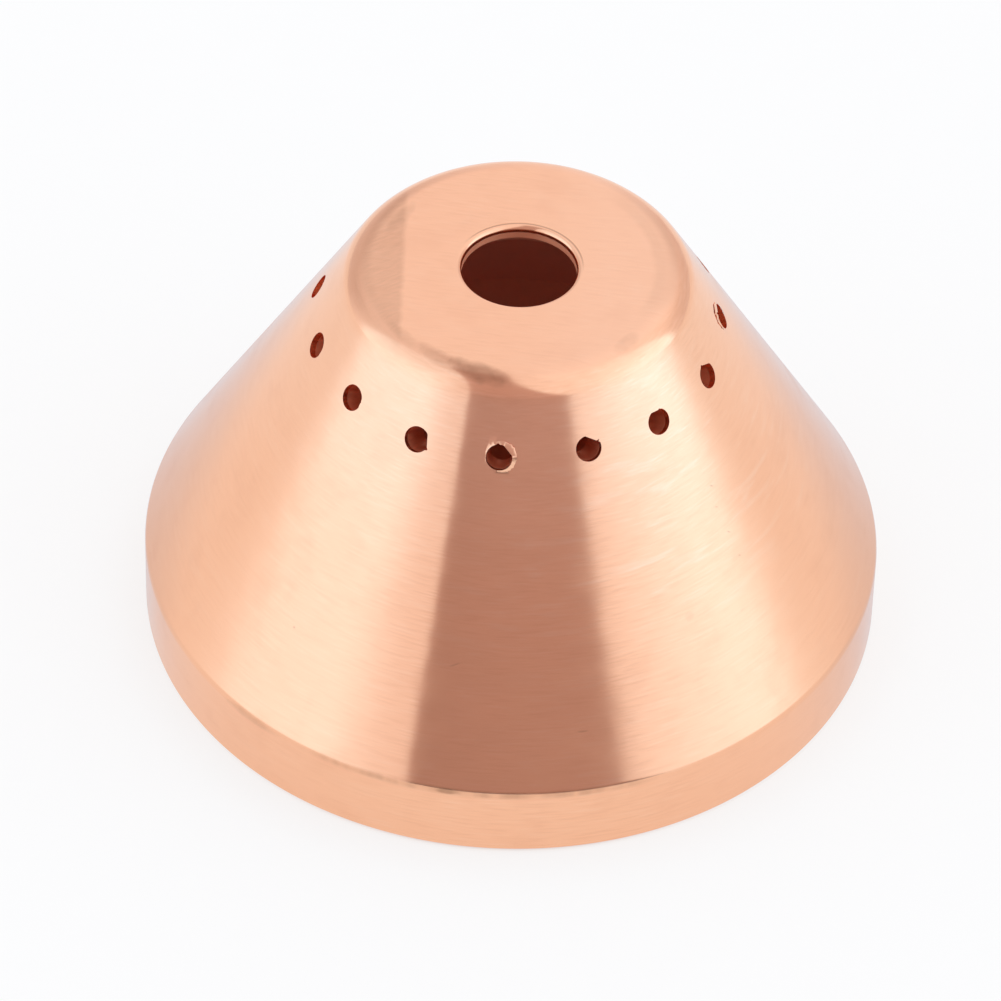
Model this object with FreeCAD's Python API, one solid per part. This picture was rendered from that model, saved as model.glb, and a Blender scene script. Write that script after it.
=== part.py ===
import FreeCAD
import Part
import math
import os

# Shield cup of a plasma cutting torch: one hollow cone, turned from solid copper bar.
# It stands on its rear rim. The origin is the centre of that rim, +Z runs to the nose.
# All lengths are in millimetres, all angles in degrees.

# Outside
RIM_DIAMETER = 40.0
OVERALL_HEIGHT = 23.8
BAND_HEIGHT = 4.3
NOSE_DIAMETER = 17.5
NOSE_EDGE_ROUNDING = 1.85
BAND_EDGE_ROUNDING = 0.5
FOOT_CHAMFER = 0.3

# Orifice in the nose, a short land with a countersink behind it
ORIFICE_DIAMETER = 6.12
ORIFICE_LIP_ROUNDING = 0.26
ORIFICE_LAND = 0.72
COUNTERSINK_ANGLE = 45.0

# Chamber, whose cone runs beside the outer one
CONE_WALL = 2.4
NOSE_WALL = 2.2

# Rear bore for the thread, its run-out groove and the shoulder that the torch seats on
RIM_WALL = 4.0
THREAD_LENGTH = 5.0
THREAD_ENTRY_CHAMFER = 0.7
GROOVE_WIDTH = 1.2
GROOVE_DEPTH = 0.3
SHOULDER_WIDTH = 2.4
REGISTER_ENTRY_CHAMFER = 0.3

# Ring of cooling vents, each drilled square to the cone
VENT_COUNT = 15
VENT_DIAMETER = 1.4
VENT_SETBACK = 4.18
DRILL_OVERRUN = 1.0
FIRST_VENT_ANGLE = -90.0

# Worked out from the sizes above
RIM_RADIUS = RIM_DIAMETER / 2
NOSE_RADIUS = NOSE_DIAMETER / 2
ORIFICE_RADIUS = ORIFICE_DIAMETER / 2
HALF_ANGLE = math.atan2(RIM_RADIUS - NOSE_RADIUS, OVERALL_HEIGHT - BAND_HEIGHT)
THREAD_RADIUS = RIM_RADIUS - RIM_WALL
GROOVE_RADIUS = THREAD_RADIUS + GROOVE_DEPTH
REGISTER_RADIUS = THREAD_RADIUS - SHOULDER_WIDTH
SHOULDER_HEIGHT = THREAD_LENGTH + GROOVE_WIDTH
CHAMBER_TOP = OVERALL_HEIGHT - NOSE_WALL

UP = FreeCAD.Vector(0, 0, 1)
CENTRE = FreeCAD.Vector(0, 0, 0)


def outer_cone_radius(height):
    """Radius of the outer cone at a height above the rim."""
    return RIM_RADIUS - (height - BAND_HEIGHT) * math.tan(HALF_ANGLE)


def chamber_cone_radius(height):
    """Radius of the chamber's cone, one wall inside the outer cone."""
    return outer_cone_radius(height) - CONE_WALL / math.cos(HALF_ANGLE)


def chamber_cone_height(radius):
    """Height at which the chamber's cone has a given radius."""
    return (chamber_cone_radius(0) - radius) / math.tan(HALF_ANGLE)


def outside_corners():
    """Corners of the outside, from the foot to the nose, as radius, height and rounding."""
    return [
        (RIM_RADIUS - FOOT_CHAMFER, 0, 0),
        (RIM_RADIUS, FOOT_CHAMFER, 0),
        (RIM_RADIUS, BAND_HEIGHT, BAND_EDGE_ROUNDING),
        (NOSE_RADIUS, OVERALL_HEIGHT, NOSE_EDGE_ROUNDING),
    ]


def orifice_corners():
    """Corners of the orifice, from its lip to the foot of its countersink."""
    spread = (NOSE_WALL - ORIFICE_LAND) * math.tan(math.radians(COUNTERSINK_ANGLE))
    return [
        (ORIFICE_RADIUS, OVERALL_HEIGHT, ORIFICE_LIP_ROUNDING),
        (ORIFICE_RADIUS, OVERALL_HEIGHT - ORIFICE_LAND, 0),
        (ORIFICE_RADIUS + spread, CHAMBER_TOP, 0),
    ]


def chamber_corners():
    """Corners of the chamber, from its top down to the shoulder."""
    return [
        (chamber_cone_radius(CHAMBER_TOP), CHAMBER_TOP, 0),
        (REGISTER_RADIUS, chamber_cone_height(REGISTER_RADIUS), 0),
        (REGISTER_RADIUS, SHOULDER_HEIGHT + REGISTER_ENTRY_CHAMFER, 0),
        (REGISTER_RADIUS + REGISTER_ENTRY_CHAMFER, SHOULDER_HEIGHT, 0),
    ]


def rear_bore_corners():
    """Corners of the rear bore, from the shoulder down to the rim."""
    return [
        (GROOVE_RADIUS, SHOULDER_HEIGHT, 0),
        (GROOVE_RADIUS, THREAD_LENGTH, 0),
        (THREAD_RADIUS, THREAD_LENGTH, 0),
        (THREAD_RADIUS, THREAD_ENTRY_CHAMFER, 0),
        (THREAD_RADIUS + THREAD_ENTRY_CHAMFER, 0, 0),
    ]


def rounded_corner(before, corner, after, rounding):
    """Start, middle and end of the arc that rounds a corner between two neighbours."""
    back = (before - corner).normalize()
    ahead = (after - corner).normalize()
    half = back.getAngle(ahead) / 2
    reach = rounding / math.tan(half)
    bisector = (back + ahead).normalize()
    middle = corner + bisector * (rounding / math.sin(half) - rounding)
    return corner + back * reach, middle, corner + ahead * reach


def section_wire(corners):
    """Closed outline through the corners, with arcs at those that are rounded."""
    points = [FreeCAD.Vector(radius, 0, height) for radius, height, _ in corners]
    arcs = []
    for index, (_, _, rounding) in enumerate(corners):
        corner = points[index]
        after = points[(index + 1) % len(points)]
        if rounding:
            arcs.append(rounded_corner(points[index - 1], corner, after, rounding))
        else:
            arcs.append((corner,))
    edges = []
    for index, arc in enumerate(arcs):
        if len(arc) == 3:
            edges.append(Part.Arc(*arc).toShape())
        following = arcs[(index + 1) % len(arcs)]
        edges.append(Part.makeLine(arc[-1], following[0]))
    return Part.Wire(edges)


def turned_blank():
    """The cup as it leaves the lathe, before the vents are drilled."""
    corners = outside_corners() + orifice_corners() + chamber_corners() + rear_bore_corners()
    section = Part.Face(section_wire(corners))
    return section.revolve(CENTRE, UP, 360)


def vent_drill(angle):
    """Cylinder that drills one vent square to the cone, through its wall."""
    turn = math.radians(angle)
    outward = FreeCAD.Vector(math.cos(turn), math.sin(turn), 0)
    square = outward * math.cos(HALF_ANGLE) + UP * math.sin(HALF_ANGLE)
    radius = NOSE_RADIUS + VENT_SETBACK * math.sin(HALF_ANGLE)
    height = OVERALL_HEIGHT - VENT_SETBACK * math.cos(HALF_ANGLE)
    mouth = outward * radius + UP * height
    start = mouth + square * DRILL_OVERRUN
    return Part.makeCylinder(VENT_DIAMETER / 2, CONE_WALL + 2 * DRILL_OVERRUN, start, -square)


def shield_cup():
    """The finished cup, a turned blank with its ring of vents."""
    step = 360 / VENT_COUNT
    drills = [vent_drill(FIRST_VENT_ANGLE + step * number) for number in range(VENT_COUNT)]
    return turned_blank().cut(drills).Solids[0]


os.makedirs("parts", exist_ok=True)
shield_cup().exportStep("parts/shield_cup.step")
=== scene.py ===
"""Visual model of a plasma torch shield cup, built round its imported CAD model.

The cup is one turned piece of copper. Its section is drawn on the XZ plane, spun
round Z, threaded in the rear bore and drilled with a ring of vents. It stands on its
rear rim at the origin, nose up, and every length in the file is in metres.
"""

import logging
import math
from dataclasses import dataclass
from enum import Enum
from typing import Callable, Iterable, Union

import bpy
from mathutils import Matrix, Vector


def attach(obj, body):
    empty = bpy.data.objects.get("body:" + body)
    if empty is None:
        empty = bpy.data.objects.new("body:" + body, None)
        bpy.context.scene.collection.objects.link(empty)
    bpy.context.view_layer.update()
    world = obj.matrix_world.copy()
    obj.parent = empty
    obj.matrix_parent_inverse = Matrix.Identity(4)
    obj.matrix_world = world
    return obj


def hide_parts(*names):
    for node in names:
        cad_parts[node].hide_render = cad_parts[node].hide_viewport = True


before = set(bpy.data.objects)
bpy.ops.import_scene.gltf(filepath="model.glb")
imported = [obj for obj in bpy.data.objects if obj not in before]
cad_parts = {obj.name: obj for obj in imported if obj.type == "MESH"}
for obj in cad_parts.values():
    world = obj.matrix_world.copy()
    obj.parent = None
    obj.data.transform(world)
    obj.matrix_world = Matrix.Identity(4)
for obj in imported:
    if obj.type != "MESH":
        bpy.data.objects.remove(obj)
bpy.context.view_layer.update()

MM = 0.001
LIGHT_BOUNCES = 20
LOG = logging.getLogger("shield_cup")

Number = Union[float, "Term"]
Colour = tuple[float, float, float]
Ramp = tuple[float, float]
WHITE = (1.0, 1.0, 1.0, 1.0)


class Cut(Enum):
    """What a tool body does to the piece that it meets."""

    REMOVE = "DIFFERENCE"
    ADD = "UNION"


class Term:
    """A socket's value in an expression, where each operator adds a Math node."""

    def __init__(self, shader: "Shader", socket: bpy.types.NodeSocket) -> None:
        """Keeps the socket and the shader that it belongs to."""
        self.shader = shader
        self.socket = socket

    def __add__(self, other: Number) -> "Term":
        """Sum of this and another value."""
        return self.shader.math("ADD", self, other)

    def __radd__(self, other: Number) -> "Term":
        """Sum of another value and this."""
        return self.shader.math("ADD", other, self)

    def __sub__(self, other: Number) -> "Term":
        """This less another value."""
        return self.shader.math("SUBTRACT", self, other)

    def __rsub__(self, other: Number) -> "Term":
        """Another value less this."""
        return self.shader.math("SUBTRACT", other, self)

    def __mul__(self, other: Number) -> "Term":
        """Product of this and another value."""
        return self.shader.math("MULTIPLY", self, other)

    def __rmul__(self, other: Number) -> "Term":
        """Product of another value and this."""
        return self.shader.math("MULTIPLY", other, self)

    def __truediv__(self, other: Number) -> "Term":
        """This divided by another value."""
        return self.shader.math("DIVIDE", self, other)

    def __rtruediv__(self, other: Number) -> "Term":
        """Another value divided by this."""
        return self.shader.math("DIVIDE", other, self)


class Shader:
    """Builds the nodes of one material or world."""

    def __init__(self, tree: bpy.types.NodeTree) -> None:
        """Empties the node tree that is to be filled."""
        self.tree = tree
        tree.nodes.clear()

    def node(self, kind: str, settings: dict, sockets: dict) -> bpy.types.Node:
        """Adds a node.

        Args:
            kind: the node's type name.
            settings: attributes that are set before its sockets.
            sockets: values or links of its inputs, by name or by index.

        Returns:
            The new node.
        """
        made = self.tree.nodes.new(kind)
        for name, value in settings.items():
            setattr(made, name, value)
        for name, value in sockets.items():
            target = made.inputs[name]
            if isinstance(value, Term):
                value = value.socket
            if isinstance(value, bpy.types.NodeSocket):
                self.tree.links.new(value, target)
            else:
                target.default_value = value
        return made

    def math(self, operation: str, *values: Number) -> Term:
        """Adds a Math node on the values and gives its result."""
        sockets = dict(enumerate(values))
        made = self.node("ShaderNodeMath", {"operation": operation}, sockets)
        return Term(self, made.outputs[0])

    def step(self, value: Number, low: float, high: float) -> Term:
        """Gives 0 below low, 1 above high and a smooth rise between them."""
        settings = {"interpolation_type": "SMOOTHSTEP"}
        sockets = {"Value": value, "From Min": low, "From Max": high}
        return Term(self, self.node("ShaderNodeMapRange", settings, sockets).outputs[0])

    def split(self, vector: bpy.types.NodeSocket) -> tuple[Term, Term, Term]:
        """Gives the three parts of a vector."""
        made = self.node("ShaderNodeSeparateXYZ", {}, {"Vector": vector})
        return tuple(Term(self, output) for output in made.outputs)

    def join(self, x: Number, y: Number, z: Number) -> bpy.types.NodeSocket:
        """Gives the vector of three parts."""
        return self.node("ShaderNodeCombineXYZ", {}, {0: x, 1: y, 2: z}).outputs[0]

    def noise(self, vector: bpy.types.NodeSocket, scale: float = 1.0,
              detail: float = 2.0) -> Term:
        """Gives a noise from 0 to 1 at the points of a vector."""
        sockets = {"Vector": vector, "Scale": scale, "Detail": detail}
        made = self.node("ShaderNodeTexNoise", {"noise_dimensions": "3D"}, sockets)
        return Term(self, made.outputs[0])

    def mix(self, factor: Number, first, second) -> bpy.types.NodeSocket:
        """Blends two colours, from the first at 0 to the second at 1."""
        settings = {"data_type": "RGBA", "blend_type": "MIX"}
        sockets = {0: factor, 6: first, 7: second}
        return self.node("ShaderNodeMix", settings, sockets).outputs[2]


def rgba(colour: Colour) -> tuple[float, float, float, float]:
    """Gives a colour its fourth value."""
    return (*colour, 1.0)


@dataclass(frozen=True)
class Mark:
    """A smudge, scuff or scratch on the copper, an oval with ragged edges.

    The place and the two reaches are in millimetres. The first reach runs along the
    lean, an angle from the way round the cup towards the nose.
    """

    place: Colour
    long: float
    short: float
    lean: float
    strength: float
    soft: float = 0.97

    def axes(self, slope: float, face_height: float) -> tuple[Vector, Vector]:
        """Gives the directions of the long and the short reach.

        Args:
            slope: the cone's lean from upright, in radians.
            face_height: height in millimetres above which the copper lies flat.

        Returns:
            Two unit vectors on the surface.
        """
        x, y, z = self.place
        round_cup = Vector((-y, x, 0)).normalized()
        outward = Vector((x, y, 0)).normalized()
        up = Vector((0, 0, math.cos(slope))) - outward * math.sin(slope)
        if z > face_height:
            up = -outward
        turn = math.radians(self.lean)
        return (round_cup * math.cos(turn) + up * math.sin(turn),
                up * math.cos(turn) - round_cup * math.sin(turn))


@dataclass(frozen=True)
class Strokes:
    """The polishing strokes that run round the cup, and the brush strokes on its nose.

    The wisps are painted highlight. A ramp gives the noise levels between which a pattern
    rises.
    """

    dash_length: float = 0.10
    dash_pitch: float = 0.08 / 0.72 * MM
    dark_ramp: Ramp = (0.50, 0.72)
    dark_strength: float = 0.42
    pale_ramp: Ramp = (0.46, 0.28)
    pale_strength: float = 0.20
    busy_middle: float = 2.5 * MM
    busy_ramp: Ramp = (12.0 * MM, 4.5 * MM)
    busy_least: float = 0.4
    busy_nose: float = 0.6
    brush_length: float = 1.6 * MM
    brush_width: float = 0.14 * MM
    brush_lean: float = 0.08
    # Painted highlight wisps: pale streaks, longest round the right flank.
    wisp_width: float = 0.55 * MM
    wisps_round: float = 4.0
    wisp_ramp: Ramp = (0.52, 0.72)
    wisp_strength: float = 0.40
    wisp_least: float = 0.15
    wisp_flank: Ramp = (10.0 * MM, 18.0 * MM)
    wisp_heights: Ramp = (9.0 * MM, 14.0 * MM)


@dataclass(frozen=True)
class Buffing:
    """The duller sides of the nose, which a buff has crossed at a slant.

    Rates are in waves per metre. The left side has a straight border on the face.
    """

    border: Ramp = (-5.75 * MM, -6.15 * MM)
    border_lean: float = 0.07
    wander: float = 0.35 * MM
    wander_rate: float = 900.0
    face_depths: Ramp = (0.20 * MM, 0.01 * MM)
    foot_depths: Ramp = (0.9 * MM, 0.5 * MM)
    dullness: float = 0.04
    face_dullness: float = 0.10
    slant: float = 0.7
    slant_rates: tuple[float, float] = (900.0, 6500.0)
    slant_strength: float = 0.22
    slant_foot: float = 0.3
    right_radius: Ramp = (7.1 * MM, 7.5 * MM)
    right_wander: float = 0.3 * MM
    right_x: Ramp = (3.5 * MM, 6.5 * MM)
    right_y: Ramp = (-3.5 * MM, -1.5 * MM)
    right_strength: float = 0.10


@dataclass(frozen=True)
class LipLine:
    """The thin dark line painted round the far side of the orifice."""

    radius: float = 3.36 * MM
    width: Ramp = (0.07 * MM, 0.02 * MM)
    depths: Ramp = (0.05 * MM, 0.02 * MM)
    lean: float = 0.25
    far_side: Ramp = (0.6 * MM, 2.4 * MM)
    strength: float = 0.55


@dataclass(frozen=True)
class Crease:
    """Painted shade along the band's edge, a dark, uneven line on the front only.

    Rates are in waves per metre.
    """

    height: float = 4.22 * MM
    width: Ramp = (0.30 * MM, 0.02 * MM)
    wander: float = 0.12 * MM
    wander_rate: float = 450.0
    # Noise that breaks up the painted shade along the edge.
    shade_break_rate: float = 800.0
    shade_break_ramp: Ramp = (0.35, 0.65)
    front: Ramp = (-17.2 * MM, -19.0 * MM)
    least: float = 0.12
    most: float = 0.26


@dataclass(frozen=True)
class CopperFinish:
    """Fine turned, bright copper, brushed on the nose and handled since.

    The highlights up the cone, on the nose's right side and in the wisps are painted, as is
    the shade in the bores and along the band's edge. A ramp gives the places or noise levels
    between which a pattern rises.
    """

    name: str = "copper_fine_turned"
    bright: Colour = (0.95, 0.52, 0.33)
    handled: Colour = (0.88, 0.455, 0.28)
    # Dark colour of stains and dull patches, and of the painted shade along the band's edge.
    tarnish_and_shade: Colour = (0.30, 0.155, 0.09)
    # Colour of the pale strokes and of the painted highlights.
    pale: Colour = (0.965, 0.625, 0.455)
    # Painted shade: the darker red of the bores and vents, standing in for their many copper
    # bounces.
    deep: Colour = (0.95, 0.43, 0.255)
    roughness: float = 0.17
    roughness_spread: float = 0.05
    bored_roughness: float = 0.48
    land_roughness: float = 0.18
    anisotropy: float = 0.6
    anisotropy_turn: float = 0.25
    line_pitch: float = 0.08 * MM
    line_height: float = 0.0002 * MM
    wave_size: float = 2.4 * MM
    wave_height: float = 0.012 * MM
    patch_size: float = 2.6 * MM
    patch_ramp: Ramp = (0.45, 0.75)
    patch_strength: float = 0.3
    pattern_mean: float = 1.5
    slope: float = math.radians(30)
    top: float = 23.8 * MM
    cone_foot: float = 4.3 * MM
    rim: float = 20.0 * MM
    nose_depths: Ramp = (0.22 * MM, 0.06 * MM)
    land_radius: Ramp = (3.6 * MM, 3.3 * MM)
    bored_depths: Ramp = (0.30 * MM, 0.38 * MM)
    # Painted highlight: the cone turns paler towards the nose.
    cone_highlight_start: Ramp = (12.0 * MM, 22.5 * MM)
    cone_highlight_end: Ramp = (23.2 * MM, 22.4 * MM)
    cone_highlight: float = 0.30
    # Painted highlight on the right side of the nose's face.
    nose_highlight_x: Ramp = (-1.0 * MM, 6.0 * MM)
    nose_highlight: float = 0.22
    ragged_rate: float = 1100.0
    ragged_reach: float = 1.1
    uneven_rate: float = 2600.0
    uneven_least: float = 0.55
    uneven_most: float = 0.9
    flat_height: float = 23.5
    strokes: Strokes = Strokes()
    buffing: Buffing = Buffing()
    lip: LipLine = LipLine()
    edge: Crease = Crease()
    marks: tuple[Mark, ...] = (
        Mark((-1.5, -8.15, 23.67), 2.4, 0.62, -7, 0.42),
        Mark((-3.5, -7.4, 23.74), 2.2, 0.50, -8, 0.22),
        Mark((-5.3, -6.2, 23.70), 1.8, 0.40, -4, 0.12),
        Mark((6.1, -5.25, 23.76), 1.1, 0.50, 10, 0.12),
        Mark((-6.6, 3.1, 23.80), 1.6, 0.45, 0, 0.13),
        Mark((-12.4, -15.6, 4.15), 2.4, 0.30, 0, 0.20),
        Mark((-1.6, -19.8, 4.24), 0.9, 0.20, 0, 0.34),
        Mark((10.4, -12.3, 11.10), 0.35, 0.30, 0, 0.10),
        Mark((-1.6, -16.46, 10.30), 0.36, 0.05, 28, 0.28),
        Mark((5.3, -17.55, 7.20), 0.34, 0.06, 0, 0.25),
        Mark((-9.9, -13.0, 8.8), 0.10, 0.09, 0, 0.25),
        Mark((10.98, -7.41, 16.0), 0.16, 0.05, -40, 0.30),
        Mark((11.33, -7.93, 15.0), 0.14, 0.05, -35, 0.26),
        Mark((12.06, -8.29, 13.6), 0.15, 0.05, -40, 0.28),
        Mark((12.72, -8.66, 12.3), 0.14, 0.05, -35, 0.24),
        Mark((13.08, -10.4, 10.0), 0.14, 0.05, 20, 0.16),
    )

    def material(self) -> bpy.types.Material:
        """Builds the finish's nodes.

        Returns:
            The material, which reads Object coordinates only.
        """
        made = bpy.data.materials.new(self.name)
        made.use_nodes = True
        shader = Shader(made.node_tree)
        place = shader.node("ShaderNodeTexCoord", {}, {}).outputs["Object"]
        x, y, height = shader.split(place)
        radius = shader.math("SQRT", x * x + y * y)
        nose = self.from_top(shader, height, self.nose_depths)
        bored = self.bored(shader, radius, height)
        lines = self.lines(shader, x, y, radius, height)
        dashes = self.dashes(shader, x, y, radius, height)
        brushed = self.brushed(shader, x, y)
        patches = self.patches(shader, place)
        streaks = dashes + (brushed - dashes) * nose
        busy = self.busy(shader, x, nose)
        strokes = self.strokes
        dark = shader.step(streaks, *strokes.dark_ramp) * strokes.dark_strength * busy
        colour = shader.mix(
            patches * self.patch_strength, rgba(self.bright), rgba(self.handled))
        colour = shader.mix(dark, colour, rgba(self.handled))
        # Painted highlights up the cone, on the nose's right side and in the wisps, with the
        # pale strokes, all mix towards the pale colour.
        light = shader.step(height, *self.cone_highlight_start) * shader.step(
            height, *self.cone_highlight_end) * self.cone_highlight
        # Painted highlight on the nose's right side.
        light = light + nose * shader.step(x, *self.nose_highlight_x) * self.nose_highlight
        light = light + shader.step(
            streaks, *strokes.pale_ramp) * strokes.pale_strength * busy
        # Painted highlight wisps on the right flank.
        light = light + self.highlight_wisps(shader, x, y, radius, height) * strokes.wisp_strength
        colour = shader.mix(shader.math("MINIMUM", light, 1.0), colour, rgba(self.pale))
        # Painted shade: the bores and vents turn a darker red.
        colour = shader.mix(bored, colour, rgba(self.deep))
        worn_and_shaded = self.wear_and_shade(shader, place, x, y, radius, height)
        # Real stains and dull patches, with the painted shade along the band's edge.
        colour = shader.mix(worn_and_shaded, colour, rgba(self.tarnish_and_shade))
        spread = (lines + patches + streaks - self.pattern_mean) * self.roughness_spread
        land = shader.step(radius, *self.land_radius) * self.land_roughness
        roughness = self.roughness + spread + bored * (
            self.bored_roughness - self.roughness + land)
        bump = self.relief(shader, place, (lines + streaks) * busy)
        surface = shader.node("ShaderNodeBsdfPrincipled", {}, {
            "Base Color": colour, "Metallic": 1.0, "Roughness": roughness,
            "Anisotropic": self.anisotropy, "Anisotropic Rotation": self.anisotropy_turn,
            "Normal": bump,
        })
        shader.node("ShaderNodeOutputMaterial", {}, {"Surface": surface.outputs[0]})
        return made

    def from_top(self, shader: Shader, height: Term, depths: Ramp) -> Term:
        """Gives a rise between two depths below the top of the nose."""
        return shader.step(height, self.top - depths[0], self.top - depths[1])

    def bored(self, shader: Shader, radius: Term, height: Term) -> Term:
        """Gives where the bores and the vents lie, below the outside, for their rougher finish
        and their painted darker red of shade.
        """
        reach = self.rim - (height - self.cone_foot) * math.tan(self.slope) - radius
        below = shader.math("MINIMUM", reach * math.cos(self.slope), self.top - height)
        below = shader.math("MINIMUM", below, self.rim - radius)
        return shader.step(below, *self.bored_depths)

    def along(self, radius: Term, height: Term) -> Term:
        """Gives the way up the cone from its foot."""
        return height * math.cos(self.slope) - radius * math.sin(self.slope)

    def lines(self, shader: Shader, x: Term, y: Term, radius: Term, height: Term) -> Term:
        """Gives the tool's lines, which run round the axis."""
        along = self.along(radius, height) * (1 / self.line_pitch)
        return shader.noise(shader.join(x / radius, y / radius, along))

    def dashes(self, shader: Shader, x: Term, y: Term, radius: Term, height: Term) -> Term:
        """Gives the short polishing strokes, which also run round the axis."""
        fine = 1 / self.strokes.dash_length
        along = self.along(radius, height) * (1 / self.strokes.dash_pitch)
        return shader.noise(
            shader.join(x / radius * fine, y / radius * fine, along), detail=1.0)

    def busy(self, shader: Shader, x: Term, nose: Term) -> Term:
        """Gives how clear the strokes are, which is clearest up the cup's front."""
        strokes = self.strokes
        aside = shader.math("ABSOLUTE", x - strokes.busy_middle)
        front = strokes.busy_least + shader.step(aside, *strokes.busy_ramp) * (
            1 - strokes.busy_least)
        return front + (strokes.busy_nose - front) * nose

    def highlight_wisps(self, shader: Shader, x: Term, y: Term, radius: Term, height: Term) -> Term:
        """Gives the painted highlight wisps, pale streaks that are longest round the right
        flank.
        """
        strokes = self.strokes
        along = self.along(radius, height) * (1 / strokes.wisp_width)
        way_x, way_y = (part / radius * strokes.wisps_round for part in (x, y))
        spread = shader.noise(shader.join(way_x, way_y, along), detail=3.0)
        flank = shader.step(x - y, *strokes.wisp_flank) * shader.step(
            height, *strokes.wisp_heights)
        flank = strokes.wisp_least + flank * (1 - strokes.wisp_least)
        return shader.step(spread, *strokes.wisp_ramp) * flank

    def brushed(self, shader: Shader, x: Term, y: Term) -> Term:
        """Gives the brush strokes on the nose, which run across it."""
        lean = y + x * self.strokes.brush_lean
        return shader.noise(shader.join(
            x * (1 / self.strokes.brush_length), lean * (1 / self.strokes.brush_width), 0.0))

    def patches(self, shader: Shader, place: bpy.types.NodeSocket) -> Term:
        """Gives the soft patches that handling leaves."""
        spread = shader.noise(place, 1 / self.patch_size, 3.0)
        return shader.step(spread, *self.patch_ramp)

    def wear_and_shade(self, shader: Shader, place: bpy.types.NodeSocket, x: Term, y: Term,
             radius: Term, height: Term) -> Term:
        """Gives how dark the smudges, scuffs, scratches, dull nose sides, orifice line and the
        painted shade along the band's edge make the copper.
        """
        ragged = (shader.noise(place, self.ragged_rate, 3.0) - 0.5) * self.ragged_reach
        smudges = 0.0
        for mark in self.marks:
            spot = Vector(mark.place) * MM
            parts = [part - value for part, value in zip((x, y, height), spot)]
            far = 0.0
            reaches = (mark.long * MM, mark.short * MM)
            for axis, reach in zip(mark.axes(self.slope, self.flat_height), reaches):
                way = parts[0] * axis.x + parts[1] * axis.y + parts[2] * axis.z
                far = way * way * (1 / reach ** 2) + far
            mask = shader.step(far + ragged, 1.0, 1.0 - mark.soft)
            smudges = shader.math("MAXIMUM", smudges, mask * mark.strength)
        uneven = shader.noise(place, self.uneven_rate) * self.uneven_most
        worn_and_shaded = self.buffed(shader, x, y, radius, height)
        # Thin dark line painted round the far side of the orifice.
        worn_and_shaded = worn_and_shaded + self.lip_line(shader, x, y, radius, height)
        # Painted shade along the band's edge, on the front only.
        worn_and_shaded = worn_and_shaded + self.crease_shade(shader, x, y, height)
        return worn_and_shaded + smudges * (uneven + self.uneven_least)

    def buffed(self, shader: Shader, x: Term, y: Term, radius: Term, height: Term) -> Term:
        """Gives the duller sides of the nose."""
        buff = self.buffing
        wave = shader.noise(shader.join(y * buff.wander_rate, 0.0, 0.0))
        side = shader.step(x + y * buff.border_lean + wave * buff.wander, *buff.border)
        face = self.from_top(shader, height, buff.face_depths)
        across = (x + y * buff.slant) * buff.slant_rates[0]
        over = (y - x * buff.slant) * buff.slant_rates[1]
        slant = shader.noise(shader.join(across, over, 0.0)) * buff.slant_strength
        slant = slant * (buff.slant_foot + face * (1 - buff.slant_foot))
        right = shader.step(radius + wave * buff.right_wander, *buff.right_radius)
        right = right * shader.step(x, *buff.right_x) * face * buff.right_strength
        right = right * shader.step(y, *buff.right_y)
        left = side * (buff.dullness + face * buff.face_dullness + slant)
        return left * self.from_top(shader, height, buff.foot_depths) + right

    def lip_line(self, shader: Shader, x: Term, y: Term, radius: Term, height: Term) -> Term:
        """Gives the thin line round the far side of the orifice."""
        away = shader.math("ABSOLUTE", radius - self.lip.radius)
        thin = shader.step(away, *self.lip.width)
        near = self.from_top(shader, height, self.lip.depths)
        far_side = shader.step(y + x * self.lip.lean, *self.lip.far_side)
        return thin * near * far_side * self.lip.strength

    def crease_shade(self, shader: Shader, x: Term, y: Term, height: Term) -> Term:
        """Gives the painted shade along the band's edge, broken up by noise."""
        edge = self.edge
        wander = shader.noise(shader.join(x * edge.wander_rate, 0.0, 0.0), detail=3.0)
        uneven = shader.noise(shader.join(x * edge.shade_break_rate, 3.0, 0.0))
        away = shader.math("ABSOLUTE", height - edge.height - wander * edge.wander)
        thin = shader.step(away, *edge.width) * shader.step(y, *edge.front)
        return thin * (edge.least + shader.step(uneven, *edge.shade_break_ramp) * edge.most)

    def relief(self, shader: Shader, place: bpy.types.NodeSocket,
               strokes: Term) -> bpy.types.NodeSocket:
        """Gives the normal, from the fine lines over soft waves of the polishing."""
        waves = shader.noise(place, 1 / self.wave_size, 1.0)
        broad = shader.node("ShaderNodeBump", {}, {
            "Strength": 1.0, "Distance": self.wave_height, "Height": waves,
        })
        fine = shader.node("ShaderNodeBump", {}, {
            "Strength": 1.0, "Distance": self.line_height, "Height": strokes,
            "Normal": broad.outputs[0],
        })
        return fine.outputs[0]


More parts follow.
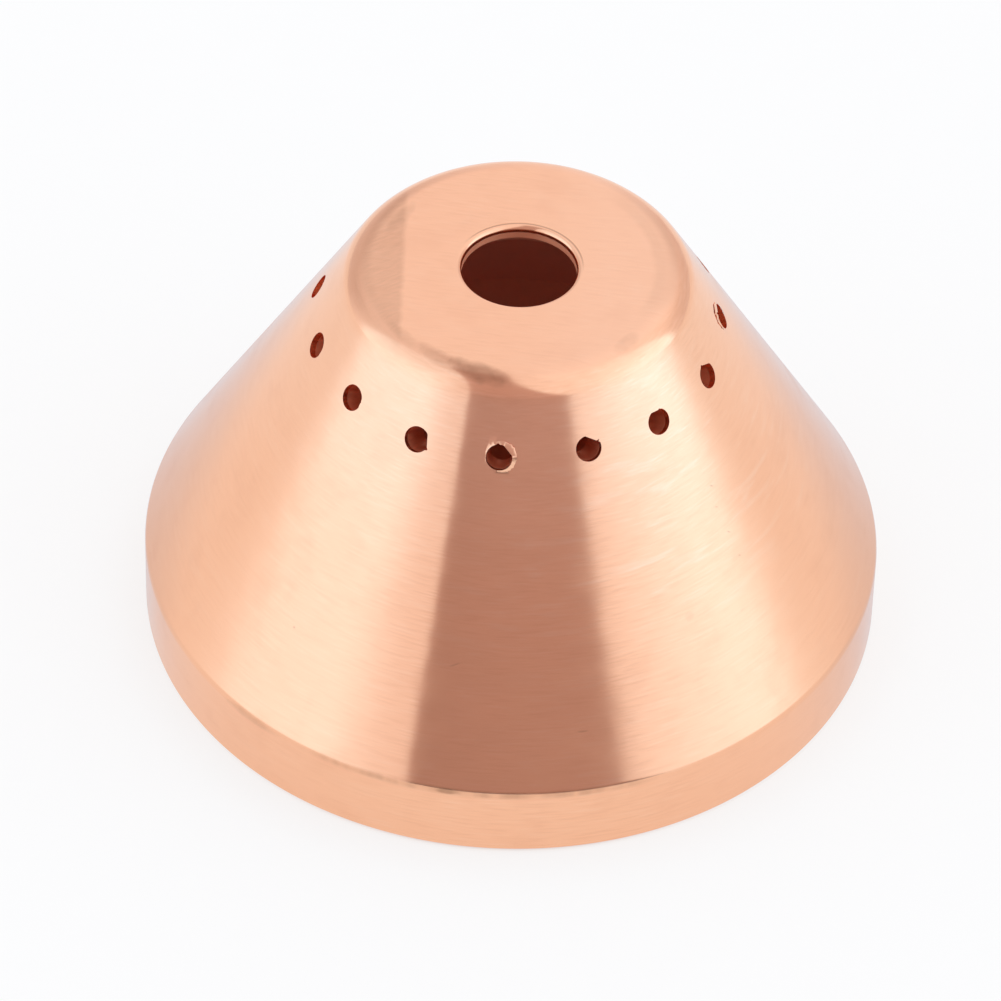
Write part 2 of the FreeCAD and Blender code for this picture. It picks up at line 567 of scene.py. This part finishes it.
class Bench:
    """Small modelling steps that the sub-assemblies share."""

    @staticmethod
    def clear() -> None:
        """Deselects everything."""
        if bpy.context.mode != "OBJECT":
            bpy.ops.object.mode_set(mode="OBJECT")
        bpy.ops.object.select_all(action="DESELECT")

    @staticmethod
    def hold(piece: bpy.types.Object) -> None:
        """Makes a piece the only selected and active one."""
        Bench.clear()
        piece.select_set(True)
        bpy.context.view_layer.objects.active = piece

    @staticmethod
    def select(piece: bpy.types.Object, test: Callable[[Vector], bool]) -> None:
        """Selects in edit mode the vertices whose place passes a test."""
        bpy.ops.mesh.select_all(action="DESELECT")
        bpy.ops.object.mode_set(mode="OBJECT")
        for vertex in piece.data.vertices:
            vertex.select = test(vertex.co)
        bpy.ops.object.mode_set(mode="EDIT")

    @staticmethod
    def named(name: str) -> bpy.types.Object:
        """Names the active object and its mesh."""
        piece = bpy.context.active_object
        piece.name = piece.data.name = name
        return piece

    @staticmethod
    def point(name: str, place: Vector) -> bpy.types.Object:
        """Starts a piece from one vertex, in edit mode."""
        Bench.clear()
        bpy.ops.mesh.primitive_plane_add(size=MM, location=(0, 0, 0))
        piece = Bench.named(name)
        bpy.ops.object.mode_set(mode="EDIT")
        bpy.ops.mesh.merge(type="CENTER")
        bpy.ops.transform.translate(value=place)
        return piece

    @staticmethod
    def extrude(step: Vector) -> None:
        """Extrudes what is selected by a step."""
        bpy.ops.mesh.extrude_region_move(TRANSFORM_OT_translate={"value": step})

    @staticmethod
    def close(piece: bpy.types.Object) -> None:
        """Merges doubles and turns the faces outwards, then leaves edit mode."""
        bpy.ops.mesh.select_all(action="SELECT")
        bpy.ops.mesh.remove_doubles(threshold=MM / 1000)
        bpy.ops.mesh.normals_make_consistent(inside=False)
        bpy.ops.object.mode_set(mode="OBJECT")

    @staticmethod
    def machine(piece: bpy.types.Object, tool: bpy.types.Object, cut: Cut) -> None:
        """Joins or cuts a piece with a tool body, which is used up.

        Args:
            piece: the piece that is changed.
            tool: a closed body.
            cut: whether the tool is added or removed.
        """
        Bench.hold(piece)
        step = piece.modifiers.new(tool.name, "BOOLEAN")
        step.operation = cut.value
        step.solver = "EXACT"
        step.object = tool
        bpy.ops.object.modifier_apply(modifier=step.name)
        bpy.data.objects.remove(tool)

    @staticmethod
    def join(name: str, pieces: Iterable[bpy.types.Object]) -> bpy.types.Object:
        """Joins pieces into one object."""
        pieces = list(pieces)
        Bench.hold(pieces[0])
        for piece in pieces:
            piece.select_set(True)
        bpy.ops.object.join()
        return Bench.named(name)

    @staticmethod
    def settle(piece: bpy.types.Object) -> None:
        """Puts a piece's place, turn and scale into its mesh."""
        Bench.hold(piece)
        bpy.ops.object.transform_apply(location=True, rotation=True, scale=True)


@dataclass(frozen=True)
class Corner:
    """A corner of the turned section, with the arc that rounds it."""

    radius: float
    height: float
    rounding: float = 0.0
    arc_steps: int = 0

    def place(self) -> Vector:
        """The corner's place on the XZ plane."""
        return Vector((self.radius, 0, self.height))


@dataclass(frozen=True)
class VentEdge:
    """One vent, with the metal that the drill dragged over the edge of its mouth.

    Angles are on the cone's surface: 0 points round the cup, 90 up to the nose. Depth,
    spike and nick are shares of the vent's radius.
    """

    azimuth: float
    burr_angle: float = 45.0
    burr_depth: float = 0.0
    spike_angle: float = 0.0
    spike_reach: float = 0.0
    lip_angle: float = 0.0
    lip_width: float = 0.0
    climb: float = 0.0


@dataclass
class ShieldCup:
    """The whole cup, from its section to its finish."""

    finish: CopperFinish
    rim_radius: float = 20.0 * MM
    overall_height: float = 23.8 * MM
    band_height: float = 4.3 * MM
    nose_radius: float = 8.75 * MM
    nose_rounding: float = 1.85 * MM
    band_rounding: float = 0.8 * MM
    foot_chamfer: float = 0.3 * MM
    orifice_radius: float = 3.06 * MM
    lip_rounding: float = 0.26 * MM
    orifice_land: float = 0.72 * MM
    cone_wall: float = 2.4 * MM
    nose_wall: float = 2.2 * MM
    thread_radius: float = 16.0 * MM
    thread_minor_radius: float = 15.19 * MM
    thread_pitch: float = 1.5 * MM
    thread_length: float = 5.0 * MM
    thread_entry: float = 0.7 * MM
    groove_width: float = 1.2 * MM
    groove_depth: float = 0.3 * MM
    register_radius: float = 13.6 * MM
    register_chamfer: float = 0.3 * MM
    vent_radius: float = 0.7 * MM
    vent_setback: float = 4.18 * MM
    thread_flank: float = math.radians(30)
    thread_root_share: float = 0.125
    thread_mouth_share: float = 0.75
    thread_lead_in: float = 1.5
    thread_run_out: float = 0.4
    thread_steps: int = 90
    tool_overrun: float = 0.1 * MM
    turn_steps: int = 360
    row_height: float = 1.0 * MM
    edge_row: float = 0.04 * MM
    smooth_angle: float = math.radians(25)
    vent_sides: int = 64
    drill_overrun: float = 1.0 * MM
    burr_thickness: float = 0.12 * MM
    burr_edge: float = 0.03 * MM
    nick_width: float = math.radians(5)
    lip_sides: int = 48
    lip_spare: float = 0.01 * MM
    lip_root: float = 0.012 * MM
    lip_tilt: float = math.radians(3)
    lip_slope: float = math.radians(22)
    lip_waves: tuple[int, int] = (23, 9)
    lip_wave_level: float = 0.5
    lip_wave_reach: float = 1.06
    vents: tuple[VentEdge, ...] = (
        VentEdge(-186, 45, 0, 0, 0, 0, 0, 0.04 * MM),
        VentEdge(-162, 5, 0.03, 0, 0, 0, 0, -0.08 * MM),
        VentEdge(-138, 5, 0.07, 12, 0.06),
        VentEdge(-113.8, 12, 0.14, -27, 0.12, 0, 0, -0.08 * MM),
        VentEdge(-90, 42, 0.14, 98, 0.08, 30, 0.19 * MM, -0.04 * MM),
        VentEdge(-64.9, 58, 0.24, 30, 0.22, 0, 0, 0.08 * MM),
        VentEdge(-42, 84, 0.13, 66, 0.10),
        VentEdge(-18, 62, 0.16, 100, 0.08, 0, 0, -0.06 * MM),
        VentEdge(6, 100, 0.30, 120, 0.25, 110, 0.06 * MM, 0.14 * MM),
        VentEdge(30, 45, 0.10),
        VentEdge(54, 40, 0.05),
        VentEdge(78, 60, 0.12, 30, 0.08),
        VentEdge(102, 20, 0.06),
        VentEdge(126, 75, 0.10, 50, 0.06),
        VentEdge(150, 45, 0.03),
    )

    def __post_init__(self) -> None:
        """Works out what follows from the sizes."""
        run = self.rim_radius - self.nose_radius
        self.slope = math.atan2(run, self.overall_height - self.band_height)
        self.chamber_top = self.overall_height - self.nose_wall
        self.shoulder_height = self.thread_length + self.groove_width

    def outer_radius(self, height: float) -> float:
        """Radius of the outer cone at a height."""
        return self.rim_radius - (height - self.band_height) * math.tan(self.slope)

    def chamber_radius(self, height: float) -> float:
        """Radius of the chamber's cone, one wall inside the outer cone."""
        return self.outer_radius(height) - self.cone_wall / math.cos(self.slope)

    def section(self) -> list[Corner]:
        """Corners of the section, from the foot over the nose and back inside."""
        top, sill = self.overall_height, self.chamber_top
        spread = self.nose_wall - self.orifice_land
        register_top = (self.chamber_radius(0) - self.register_radius) / math.tan(self.slope)
        groove = self.thread_radius + self.groove_depth
        minor = self.thread_minor_radius
        entry = self.thread_radius + self.thread_entry
        return [
            Corner(self.rim_radius - self.foot_chamfer, 0),
            Corner(self.rim_radius, self.foot_chamfer),
            Corner(self.rim_radius, self.band_height, self.band_rounding, 10),
            Corner(self.nose_radius, top, self.nose_rounding, 30),
            Corner(self.orifice_radius, top, self.lip_rounding, 12),
            Corner(self.orifice_radius, top - self.orifice_land),
            Corner(self.orifice_radius + spread, sill),
            Corner(self.chamber_radius(sill), sill),
            Corner(self.register_radius, register_top),
            Corner(self.register_radius, self.shoulder_height + self.register_chamfer),
            Corner(self.register_radius + self.register_chamfer, self.shoulder_height),
            Corner(groove, self.shoulder_height),
            Corner(groove, self.thread_length),
            Corner(minor, self.thread_length),
            Corner(minor, entry - minor),
            Corner(entry, 0),
        ]

    def rows(self, length: float) -> list[float]:
        """Shares of a straight run at which it gets a row of vertices.

        Args:
            length: the run's length.

        Returns:
            Shares up to 1, with a close row at each end that keeps the shading true.
        """
        if length < 4 * self.edge_row:
            return [1.0]
        count = max(1, round(length / self.row_height))
        middle = [number / count for number in range(1, count)]
        edge = self.edge_row / length
        return [edge, *middle, 1 - edge, 1.0]

    def draw_section(self) -> bpy.types.Object:
        """Draws the closed section, extruding one vertex from corner to corner."""
        corners = self.section()
        piece = Bench.point("shield_cup_turned", corners[0].place())
        here = corners[0].place()
        for number, corner in enumerate(corners[1:], 1):
            after = corners[(number + 1) % len(corners)].place()
            ahead = (after - corner.place()).normalized()
            back = (here - corner.place()).normalized()
            half = back.angle(ahead) / 2
            reach = corner.rounding / math.tan(half)
            here = self.draw_run(here, corner.place() + back * reach)
            if corner.rounding:
                inward = (back + ahead).normalized()
                centre = corner.place() + inward * corner.rounding / math.sin(half)
                bpy.ops.mesh.spin(
                    steps=corner.arc_steps, angle=math.pi - 2 * half,
                    center=centre, axis=(0, 1, 0))
                here = corner.place() + ahead * reach
        self.draw_run(here, corners[0].place())
        return piece

    def draw_run(self, start: Vector, end: Vector) -> Vector:
        """Draws a straight run in rows and gives its end."""
        run = end - start
        done = 0.0
        for share in self.rows(run.length):
            Bench.extrude(run * (share - done))
            done = share
        return end

    def turn(self) -> bpy.types.Object:
        """Turns the section into the blank."""
        piece = self.draw_section()
        bpy.ops.mesh.select_all(action="SELECT")
        bpy.ops.mesh.spin(
            steps=self.turn_steps, angle=2 * math.pi, center=(0, 0, 0), axis=(0, 0, 1))
        Bench.close(piece)
        return piece

    def thread_tool(self) -> bpy.types.Object:
        """The helical body that the threading tool clears from the rear bore."""
        pitch, outer = self.thread_pitch, self.thread_radius
        inner = self.thread_minor_radius - self.tool_overrun
        spare = self.tool_overrun * math.tan(self.thread_flank)
        wide = self.thread_mouth_share * pitch / 2 + spare
        flat = self.thread_root_share * pitch / 2
        start = -self.thread_lead_in * pitch
        end = self.thread_length + self.thread_run_out * self.groove_width
        piece = Bench.point("thread_tool", Vector((inner, 0, start - wide)))
        for x, z in ((outer, start - flat), (outer, start + flat), (inner, start + wide)):
            last = Vector((x, 0, z))
            Bench.extrude(last - self.active_place(piece))
        bpy.ops.mesh.select_all(action="SELECT")
        bpy.ops.mesh.edge_face_add()
        bpy.ops.object.mode_set(mode="OBJECT")
        turns = (end - start) / pitch
        screw = piece.modifiers.new("helix", "SCREW")
        screw.axis = "Z"
        screw.angle = 2 * math.pi * turns
        screw.screw_offset = end - start
        screw.steps = screw.render_steps = round(self.thread_steps * turns)
        screw.use_merge_vertices = False
        bpy.ops.object.modifier_apply(modifier=screw.name)
        bpy.ops.object.mode_set(mode="EDIT")
        bpy.ops.mesh.select_all(action="SELECT")
        bpy.ops.mesh.fill_holes(sides=0)
        Bench.close(piece)
        return piece

    @staticmethod
    def active_place(piece: bpy.types.Object) -> Vector:
        """Place of the vertex that was drawn last."""
        bpy.ops.object.mode_set(mode="OBJECT")
        place = next(v.co.copy() for v in piece.data.vertices if v.select)
        bpy.ops.object.mode_set(mode="EDIT")
        return place

    def vent_frame(self, vent: VentEdge) -> Matrix:
        """Place and turn of a vent's mouth, X round the cup and Z square to the cone."""
        turn = math.radians(vent.azimuth)
        setback = self.vent_setback - vent.climb
        outward = Vector((math.cos(turn), math.sin(turn), 0))
        square = outward * math.cos(self.slope) + Vector((0, 0, math.sin(self.slope)))
        round_cup = Vector((-math.sin(turn), math.cos(turn), 0))
        up_slope = square.cross(round_cup)
        radius = self.nose_radius + setback * math.sin(self.slope)
        height = self.overall_height - setback * math.cos(self.slope)
        mouth = outward * radius + Vector((0, 0, height))
        columns = (round_cup, up_slope, square)
        turned = Matrix([[column[row] for column in columns] for row in range(3)])
        return Matrix.Translation(mouth) @ turned.to_4x4()

    def vent_drill(self, vent: VentEdge) -> bpy.types.Object:
        """The body that one vent clears, with the wear on its mouth."""
        deep = self.cone_wall + self.drill_overrun - self.burr_thickness
        Bench.clear()
        bpy.ops.mesh.primitive_cylinder_add(
            vertices=self.vent_sides, radius=self.vent_radius, depth=deep,
            location=(0, 0, -self.burr_thickness - deep / 2))
        piece = Bench.named(f"vent_drill_{int(vent.azimuth) % 360:03d}")
        Bench.settle(piece)
        bpy.ops.object.mode_set(mode="EDIT")
        bpy.ops.mesh.select_mode(type="VERT")
        Bench.select(piece, lambda co: co.z > -self.burr_thickness - self.burr_edge)
        Bench.extrude(Vector((0, 0, self.burr_thickness - self.burr_edge)))
        Bench.extrude(Vector((0, 0, self.drill_overrun)))
        bpy.ops.mesh.select_all(action="SELECT")
        bpy.ops.transform.rotate(
            value=math.radians(vent.burr_angle), orient_axis="Z",
            center_override=(0, 0, 0))
        chord = self.vent_radius * (1 - vent.burr_depth)
        mouth = -2 * self.burr_edge
        Bench.select(piece, lambda co: co.z > mouth and co.x > chord)
        if vent.burr_depth:
            bpy.ops.transform.resize(value=(0, 1, 1), center_override=(chord, 0, 0))
        self.nick(piece, vent, mouth)
        bpy.ops.object.mode_set(mode="OBJECT")
        piece.matrix_world = self.vent_frame(vent) @ Matrix.Rotation(
            math.radians(vent.burr_angle), 4, "Z")
        Bench.settle(piece)
        return piece

    def nick(self, piece: bpy.types.Object, vent: VentEdge, mouth: float) -> None:
        """Draws the drill's edge outwards to a point, where the mouth is nicked."""
        if not vent.spike_reach:
            return
        aim = math.radians(vent.spike_angle - vent.burr_angle)
        way = Vector((math.cos(aim), math.sin(aim), 0))
        Bench.select(piece, lambda co: co.z > mouth and co.xy.length > 0
                     and co.xy.angle(way.xy) < self.nick_width)
        bpy.ops.transform.translate(value=way * self.vent_radius * vent.spike_reach)

    def vent_lip(self, vent: VentEdge) -> bpy.types.Object:
        """The raised metal at a vent's mouth, which slopes away to a ragged foot."""
        centre = vent.lip_width / 2
        run = vent.lip_width + self.lip_spare
        fall = self.lip_root / math.tan(self.lip_slope)
        rise = run * math.tan(self.lip_slope)
        Bench.clear()
        bpy.ops.mesh.primitive_cone_add(
            vertices=self.lip_sides,
            radius1=self.vent_radius + self.lip_spare + centre + fall,
            radius2=self.vent_radius - centre, depth=rise + self.lip_root,
            location=(centre, 0, (rise - self.lip_root) / 2))
        piece = Bench.named(f"vent_lip_{int(vent.azimuth) % 360:03d}")
        Bench.settle(piece)
        bpy.ops.object.mode_set(mode="EDIT")
        Bench.select(piece, lambda co: co.z < 0 and sum(
            math.sin(waves * math.atan2(co.y, co.x))
            for waves in self.lip_waves) > self.lip_wave_level)
        bpy.ops.transform.resize(
            value=(self.lip_wave_reach, self.lip_wave_reach, 1),
            center_override=(centre, 0, 0))
        bpy.ops.object.mode_set(mode="OBJECT")
        piece.matrix_world = self.vent_frame(vent) @ Matrix.Rotation(
            math.radians(vent.lip_angle), 4, "Z") @ Matrix.Rotation(-self.lip_tilt, 4, "Y")
        Bench.settle(piece)
        return piece

    def build(self) -> bpy.types.Object:
        """Builds and dresses the cup.

        Returns:
            The finished piece.
        """
        piece = self.turn()
        Bench.machine(piece, self.thread_tool(), Cut.REMOVE)
        raised = [self.vent_lip(vent) for vent in self.vents if vent.lip_width]
        Bench.machine(piece, Bench.join("vent_lips", raised), Cut.ADD)
        drills = Bench.join("vent_drills", [self.vent_drill(vent) for vent in self.vents])
        Bench.machine(piece, drills, Cut.REMOVE)
        Bench.hold(piece)
        bpy.ops.object.shade_smooth_by_angle(angle=self.smooth_angle)
        piece.data.materials.clear()
        piece.data.materials.append(self.finish.material())
        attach(piece, "root")
        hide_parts("shield_cup")
        return piece


@dataclass(frozen=True)
class Camera:
    """The camera, at the photograph's angle."""

    place: tuple[float, float, float] = (17.83 * MM, -259.51 * MM, 257.53 * MM)
    turn: tuple[float, float, float] = (46.0173, -1.2044, 5.2321)
    lens: float = 238.69
    sensor: float = 36.0
    nearest: float = 0.01
    furthest: float = 10.0

    def build(self) -> bpy.types.Object:
        """Adds the camera and makes it the scene's own."""
        data = bpy.data.cameras.new("camera")
        data.lens, data.sensor_width = self.lens, self.sensor
        data.clip_start, data.clip_end = self.nearest, self.furthest
        made = bpy.data.objects.new("camera", data)
        made.location = self.place
        made.rotation_euler = [math.radians(angle) for angle in self.turn]
        bpy.context.scene.collection.objects.link(made)
        bpy.context.scene.camera = made
        return made


@dataclass(frozen=True)
class Wall:
    """A lit wall of the tent, between two turns from the front in degrees."""

    glow: Colour
    start: tuple[float, float]
    end: tuple[float, float]

    def share(self, shader: Shader, turn: Term) -> Term:
        """How much of the wall a direction meets, by its turn to the wall's side."""
        return shader.step(turn, *self.start) * (1 - shader.step(turn, *self.end))


@dataclass(frozen=True)
class LightTent:
    """The light round the cup, a tent with two lit walls and a gap at its front.

    Turns are in degrees from the front, heights are the sine of the elevation. A ramp
    gives the parts of a direction between which a light rises or falls.
    """

    roof: Colour = (1.02, 1.03, 1.09)
    left: Wall = Wall((0.28, 0.52, 0.68), (26.7, 50.8), (94.3, 104.4))
    right: Wall = Wall((0.36, 0.81, 1.08), (28.3, 91.2), (105.8, 112.0))
    corners: Wall = Wall((-0.23, -0.27, -0.30), (99.0, 127.6), (159.7, 181.8))
    gap_low: Colour = (0.42, 0.315, 0.31)
    gap_high: Colour = (0.60, 0.465, 0.46)
    wall_foot: Ramp = (-1.25, 0.52)
    wall_top: Ramp = (0.064, 1.244)
    wall_lean: float = 0.15
    corner_top: Ramp = (0.35, 0.75)
    gap_rise: Ramp = (0.19, 0.34)
    horizon: float = 0.35
    horizon_ramp: Ramp = (0.02, 0.17)
    gap_slant: float = 0.10
    gap_left: float = -0.37
    gap_left_rise: Ramp = (0.3, 0.9)
    gap_left_step: float = 0.04
    gap_left_over: Ramp = (-0.1, 0.2)
    gap_left_jump: float = 0.08
    gap_right: float = 0.75
    gap_lean: float = 0.78
    gap_right_over: Ramp = (-0.05, 0.12)
    gap_right_taper: float = 0.12
    gap_edge: float = 0.015
    gap_end: Ramp = (0.20, 0.55)
    roof_share: float = 0.42
    roof_ramp: Ramp = (-0.12, 0.12)
    tilt: float = 0.22

    def build(self) -> bpy.types.World:
        """Builds the world's nodes, which are white to the camera.

        Returns:
            The world.
        """
        world = bpy.data.worlds.new("light_tent")
        bpy.context.scene.world = world
        world.use_nodes = True
        shader = Shader(world.node_tree)
        way = shader.node("ShaderNodeTexCoord", {}, {}).outputs["Generated"]
        x, y, z = shader.split(way)
        turn = shader.math("ARCTAN2", x, 0 - y) * (180 / math.pi)
        height = shader.step(z, *self.wall_foot) * (
            1 - shader.step(z + x * self.wall_lean, *self.wall_top))
        left = self.left.share(shader, 0 - turn) * height
        right = self.right.share(shader, turn) * height
        corners = self.corners.share(shader, shader.math("ABSOLUTE", turn))
        corners = corners * (1 - shader.step(z, *self.corner_top))
        gap = self.gap(shader, x, y, z)
        rise = shader.step(z, *self.gap_rise)
        dim = self.horizon + shader.step(z, *self.horizon_ramp) * (1 - self.horizon)
        dim = dim + x * self.gap_slant
        parts = []
        for part in range(3):
            lit = self.roof[part] + left * self.left.glow[part] + right * self.right.glow[part]
            lit = lit + corners * self.corners.glow[part] + x * z * self.tilt
            dark = self.gap_low[part] + rise * (self.gap_high[part] - self.gap_low[part])
            parts.append(lit + (dark * dim - lit) * gap)
        seen = shader.node("ShaderNodeLightPath", {}, {}).outputs["Is Camera Ray"]
        light = shader.node("ShaderNodeBackground", {}, {"Color": shader.join(*parts)})
        plain = shader.node("ShaderNodeBackground", {}, {"Color": WHITE})
        both = shader.node("ShaderNodeMixShader", {}, {
            0: seen, 1: light.outputs[0], 2: plain.outputs[0],
        })
        shader.node("ShaderNodeOutputWorld", {}, {"Surface": both.outputs[0]})
        return world

    def gap(self, shader: Shader, x: Term, y: Term, z: Term) -> Term:
        """How much of the gap a direction meets, which narrows upwards to the roof."""
        left = x - self.gap_left - shader.step(z, *self.gap_left_rise) * self.gap_left_step
        left = left - shader.step(y, *self.gap_left_over) * self.gap_left_jump
        left = shader.step(left, -self.gap_edge, self.gap_edge)
        over = shader.step(y, *self.gap_right_over)
        limit = self.gap_right - self.gap_lean * (z + (1 - z) * over)
        limit = limit - shader.math("MAXIMUM", y, 0.0) * self.gap_right_taper
        right = shader.step(limit - x, -self.gap_edge, self.gap_edge)
        behind = 1 - shader.step(y, *self.roof_ramp) * self.roof_share
        return left * right * behind * (1 - shader.step(y, *self.gap_end))


@dataclass(frozen=True)
class Studio:
    """A pale floor inside the light tent.

    The floor glows a little outside the cup's foot, less so close behind the cup. Inside the
    foot the paper carries painted copper-red shade.
    """

    tent: LightTent = LightTent()
    floor_size: float = 3.0
    floor_drop: float = 0.02 * MM
    floor_colour: Colour = (0.97, 0.96, 0.93)
    floor_glow: float = 0.72
    cup_glow: float = 0.05
    shaded_glow: Colour = (0.76, 0.80, 0.89)
    # Painted copper-red shade and bounce light for the paper inside the cup's foot.
    inner_shade: Colour = (0.95, 0.42, 0.24)
    grain_rate: float = 400.0
    grain_share: float = 0.98
    paper_roughness: float = 0.9
    paper_shine: float = 0.1
    foot_ramp: Ramp = (19.4 * MM, 19.9 * MM)
    shade_reach: Ramp = (60.0 * MM, 26.0 * MM)
    shade_behind: Ramp = (-14.0 * MM, 2.0 * MM)

    def build(self) -> None:
        """Adds the floor and the tent's light."""
        self.floor()
        self.tent.build()

    def floor(self) -> bpy.types.Object:
        """Adds the floor, whose white is very slightly uneven, with painted copper-red shade
        inside the cup's foot.
        """
        Bench.clear()
        bpy.ops.mesh.primitive_plane_add(
            size=self.floor_size, location=(0, 0, -self.floor_drop))
        piece = Bench.named("floor")
        made = bpy.data.materials.new("floor_paper")
        made.use_nodes = True
        shader = Shader(made.node_tree)
        place = shader.node("ShaderNodeTexCoord", {}, {}).outputs["Object"]
        grain = shader.noise(place, self.grain_rate)
        shade = tuple(self.grain_share * value for value in self.floor_colour)
        x, y, _ = shader.split(place)
        radius = shader.math("SQRT", x * x + y * y)
        outside = shader.step(radius, *self.foot_ramp)
        colour = shader.mix(grain, rgba(self.floor_colour), rgba(shade))
        # Painted shade: the paper inside the cup's foot turns copper-red.
        colour = shader.mix(outside, rgba(self.inner_shade), colour)
        paper = shader.node("ShaderNodeBsdfPrincipled", {}, {
            "Base Color": colour, "Roughness": self.paper_roughness,
            "Specular IOR Level": self.paper_shine,
        })
        rays = shader.node("ShaderNodeLightPath", {}, {})
        camera, mirror, glass = (Term(shader, rays.outputs[name]) for name in (
            "Is Camera Ray", "Is Glossy Ray", "Is Transmission Ray"))
        near = shader.step(radius, *self.shade_reach) * shader.step(y, *self.shade_behind)
        tint = shader.mix(mirror * near, WHITE, rgba(self.shaded_glow))
        white = shader.node("ShaderNodeEmission", {}, {"Color": tint})
        seen = (camera + glass) * outside + mirror * (
            self.cup_glow + outside * (1 - self.cup_glow))
        both = shader.node("ShaderNodeMixShader", {}, {
            0: shader.math("MINIMUM", seen, 1.0) * self.floor_glow,
            1: paper.outputs[0], 2: white.outputs[0],
        })
        shader.node("ShaderNodeOutputMaterial", {}, {"Surface": both.outputs[0]})
        piece.data.materials.append(made)
        return piece


def main() -> None:
    """Builds the camera, the studio and the cup, in that order, and logs the cup's face count.
    """
    logging.basicConfig(level=logging.INFO, format="%(name)s: %(message)s")
    scene = bpy.context.scene
    scene.view_settings.view_transform = "Standard"
    scene.cycles.max_bounces = LIGHT_BOUNCES
    scene.cycles.glossy_bounces = LIGHT_BOUNCES
    Camera().build()
    Studio().build()
    cup = ShieldCup(CopperFinish()).build()
    LOG.info("%s: %d faces", cup.name, len(cup.data.polygons))


if __name__ == "__main__":
    main()
